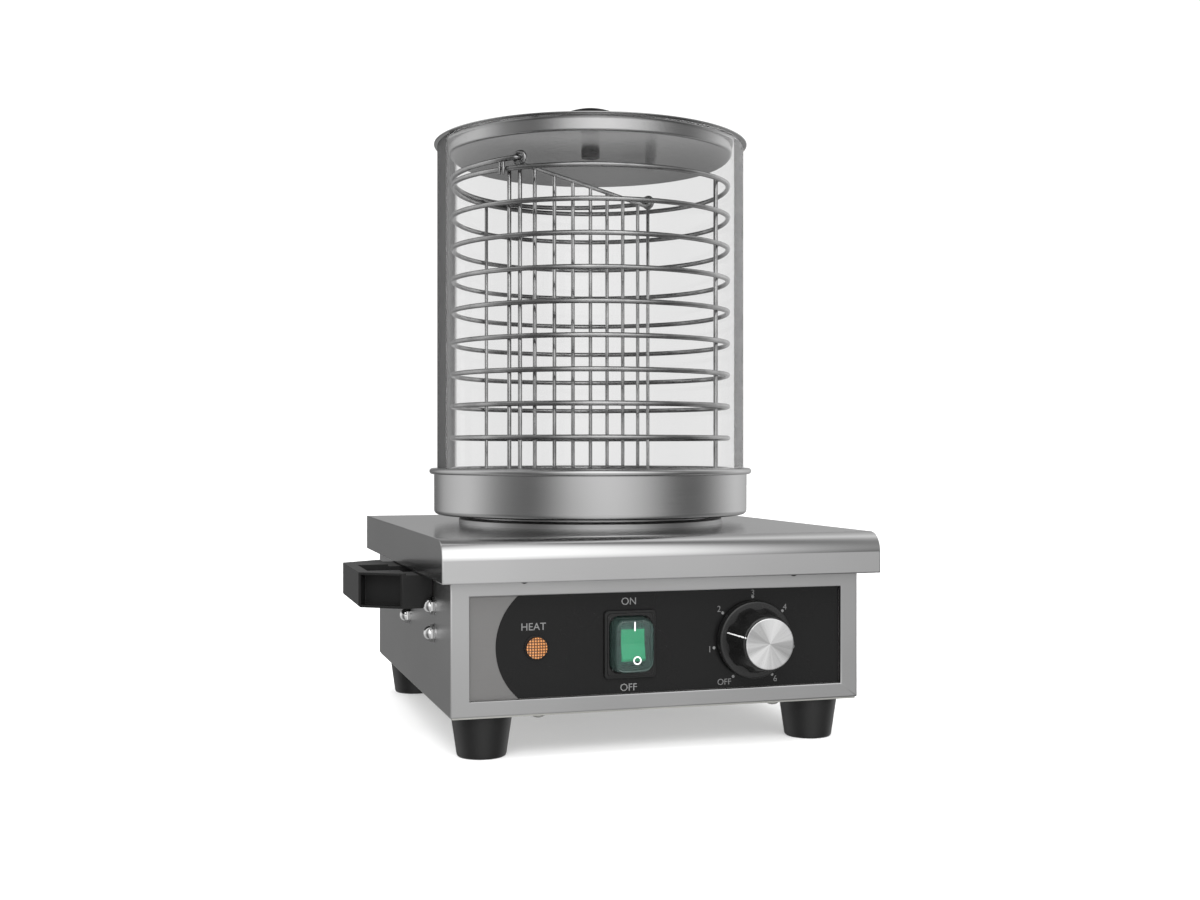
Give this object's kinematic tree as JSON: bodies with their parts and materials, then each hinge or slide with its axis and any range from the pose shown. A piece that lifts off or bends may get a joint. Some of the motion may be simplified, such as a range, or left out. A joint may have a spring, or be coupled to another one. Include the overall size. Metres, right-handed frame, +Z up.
{
  "type": "hot dog steamer",
  "caption": "Countertop steamer: sheet-metal base with lamp, switch and dial, hot plate, water pan, glass cylinder, divided wire basket with a bail, and a dished lid.",
  "frame": {"origin": "on the table under the middle of the object's outline, handles, knob and cable gland included", "axes": "+Z up; -Y is the front with lamp, switch and dial; +X to the right as seen from the front"},
  "size_m": [0.322, 0.3078, 0.3925],
  "materials": {
    "cabinet_steel": "brushed stainless sheet",
    "cover_steel": "brushed stainless sheet, rolled front edge",
    "panel_steel": "satin stainless sheet",
    "panel_film": "printed film, satin black",
    "lid_steel": "polished stainless sheet",
    "pan_steel": "spun stainless sheet",
    "bright_wire": "polished wire",
    "clear_glass": "clear tempered glass",
    "black_plastic": "moulded, fine satin",
    "switch_plastic": "moulded, glossy",
    "green_plastic": "translucent moulded",
    "clear_boot": "clear soft moulding",
    "amber_plastic": "translucent amber moulding",
    "bright_cap": "turned face",
    "plate_aluminium": "cast and machined",
    "foot_rubber": "moulded rubber",
    "zinc_steel": "plated sheet and fasteners",
    "element_steel": "heat-darkened tube",
    "brass_blades": "stamped brass",
    "pale_plastic": "moulded, heat resistant",
    "copper_tube": "drawn tube"
  },
  "bodies": {
    "base": {"body_shell": "cabinet_steel", "bottom_plate": "zinc_steel", "cover": "cover_steel", "front_panel": "panel_steel", "panel_overlay": "panel_film", "lamp_lens": "amber_plastic", "lamp_body": "black_plastic", "switch_body": "switch_plastic", "switch_tabs": "brass_blades", "boot_frame": "black_plastic", "switch_boot": "clear_boot", "thermostat_body": "pale_plastic", "thermostat_bulb": "copper_tube", "handle_left": "black_plastic", "handle_right": "black_plastic", "handle_plate_left": "zinc_steel", "handle_plate_right": "zinc_steel", "hot_plate": "plate_aluminium", "heating_element": "element_steel", "element_clamp": "zinc_steel", "heat_shield": "zinc_steel", "thermal_cutout": "pale_plastic", "terminal_block": "pale_plastic", "earth_stud": "brass_blades", "cable_gland": "black_plastic", "gland_nut": "black_plastic", "foot_front_left": "foot_rubber", "cover_bracket_front_left": "zinc_steel", "foot_front_right": "foot_rubber", "cover_bracket_front_right": "zinc_steel", "foot_rear_left": "foot_rubber", "cover_bracket_rear_left": "zinc_steel", "foot_rear_right": "foot_rubber", "cover_bracket_rear_right": "zinc_steel"},
    "rocker": {"rocker": "green_plastic"},
    "knob": {"thermostat_shaft": "brass_blades", "knob_body": "black_plastic", "knob_cap": "bright_cap"},
    "pan": {"water_pan": "pan_steel"},
    "glass": {"glass_cylinder": "clear_glass"},
    "basket": {"basket_rings": "bright_wire", "basket_uprights": "bright_wire", "basket_floor": "bright_wire", "basket_divider": "bright_wire", "ring_clip": "bright_wire"},
    "bail": {"bail": "bright_wire"},
    "lid": {"lid_pan": "lid_steel", "lid_knob": "black_plastic", "lid_screw": "black_plastic"}
  },
  "joints": [
    {"name": "pan_lift", "type": "slide", "parent": "base", "child": "pan", "axis": [0, 0, 1], "range_m": [0, 0.06]},
    {"name": "glass_lift", "type": "slide", "parent": "pan", "child": "glass", "axis": [0, 0, 1], "range_m": [0, 0.05]},
    {"name": "basket_lift", "type": "slide", "parent": "glass", "child": "basket", "axis": [0, 0, 1], "range_m": [0, 0.25]},
    {"name": "lid_lift", "type": "slide", "parent": "basket", "child": "lid", "axis": [0, 0, 1], "range_m": [0, 0.25]},
    {"name": "bail_swing", "type": "hinge", "parent": "basket", "child": "bail", "pos_m": [0, 0.01066, 0.34521], "axis": [0.7071, 0.7071, 0], "range_deg": [0, 90.5]},
    {"name": "knob_turn", "type": "hinge", "parent": "base", "child": "knob", "pos_m": [0.0557, -0.1288, 0.0611], "axis": [0, 1, 0], "range_deg": [-75, 225]},
    {"name": "rocker_tilt", "type": "hinge", "parent": "base", "child": "rocker", "pos_m": [-0.0188, -0.1277, 0.0611], "axis": [1, 0, 0], "range_deg": [0, 14]}
  ],
  "couplings": [
    {"joint": "bail_swing", "follows": "lid_lift", "rad_per_m": 6.2832}
  ]
}
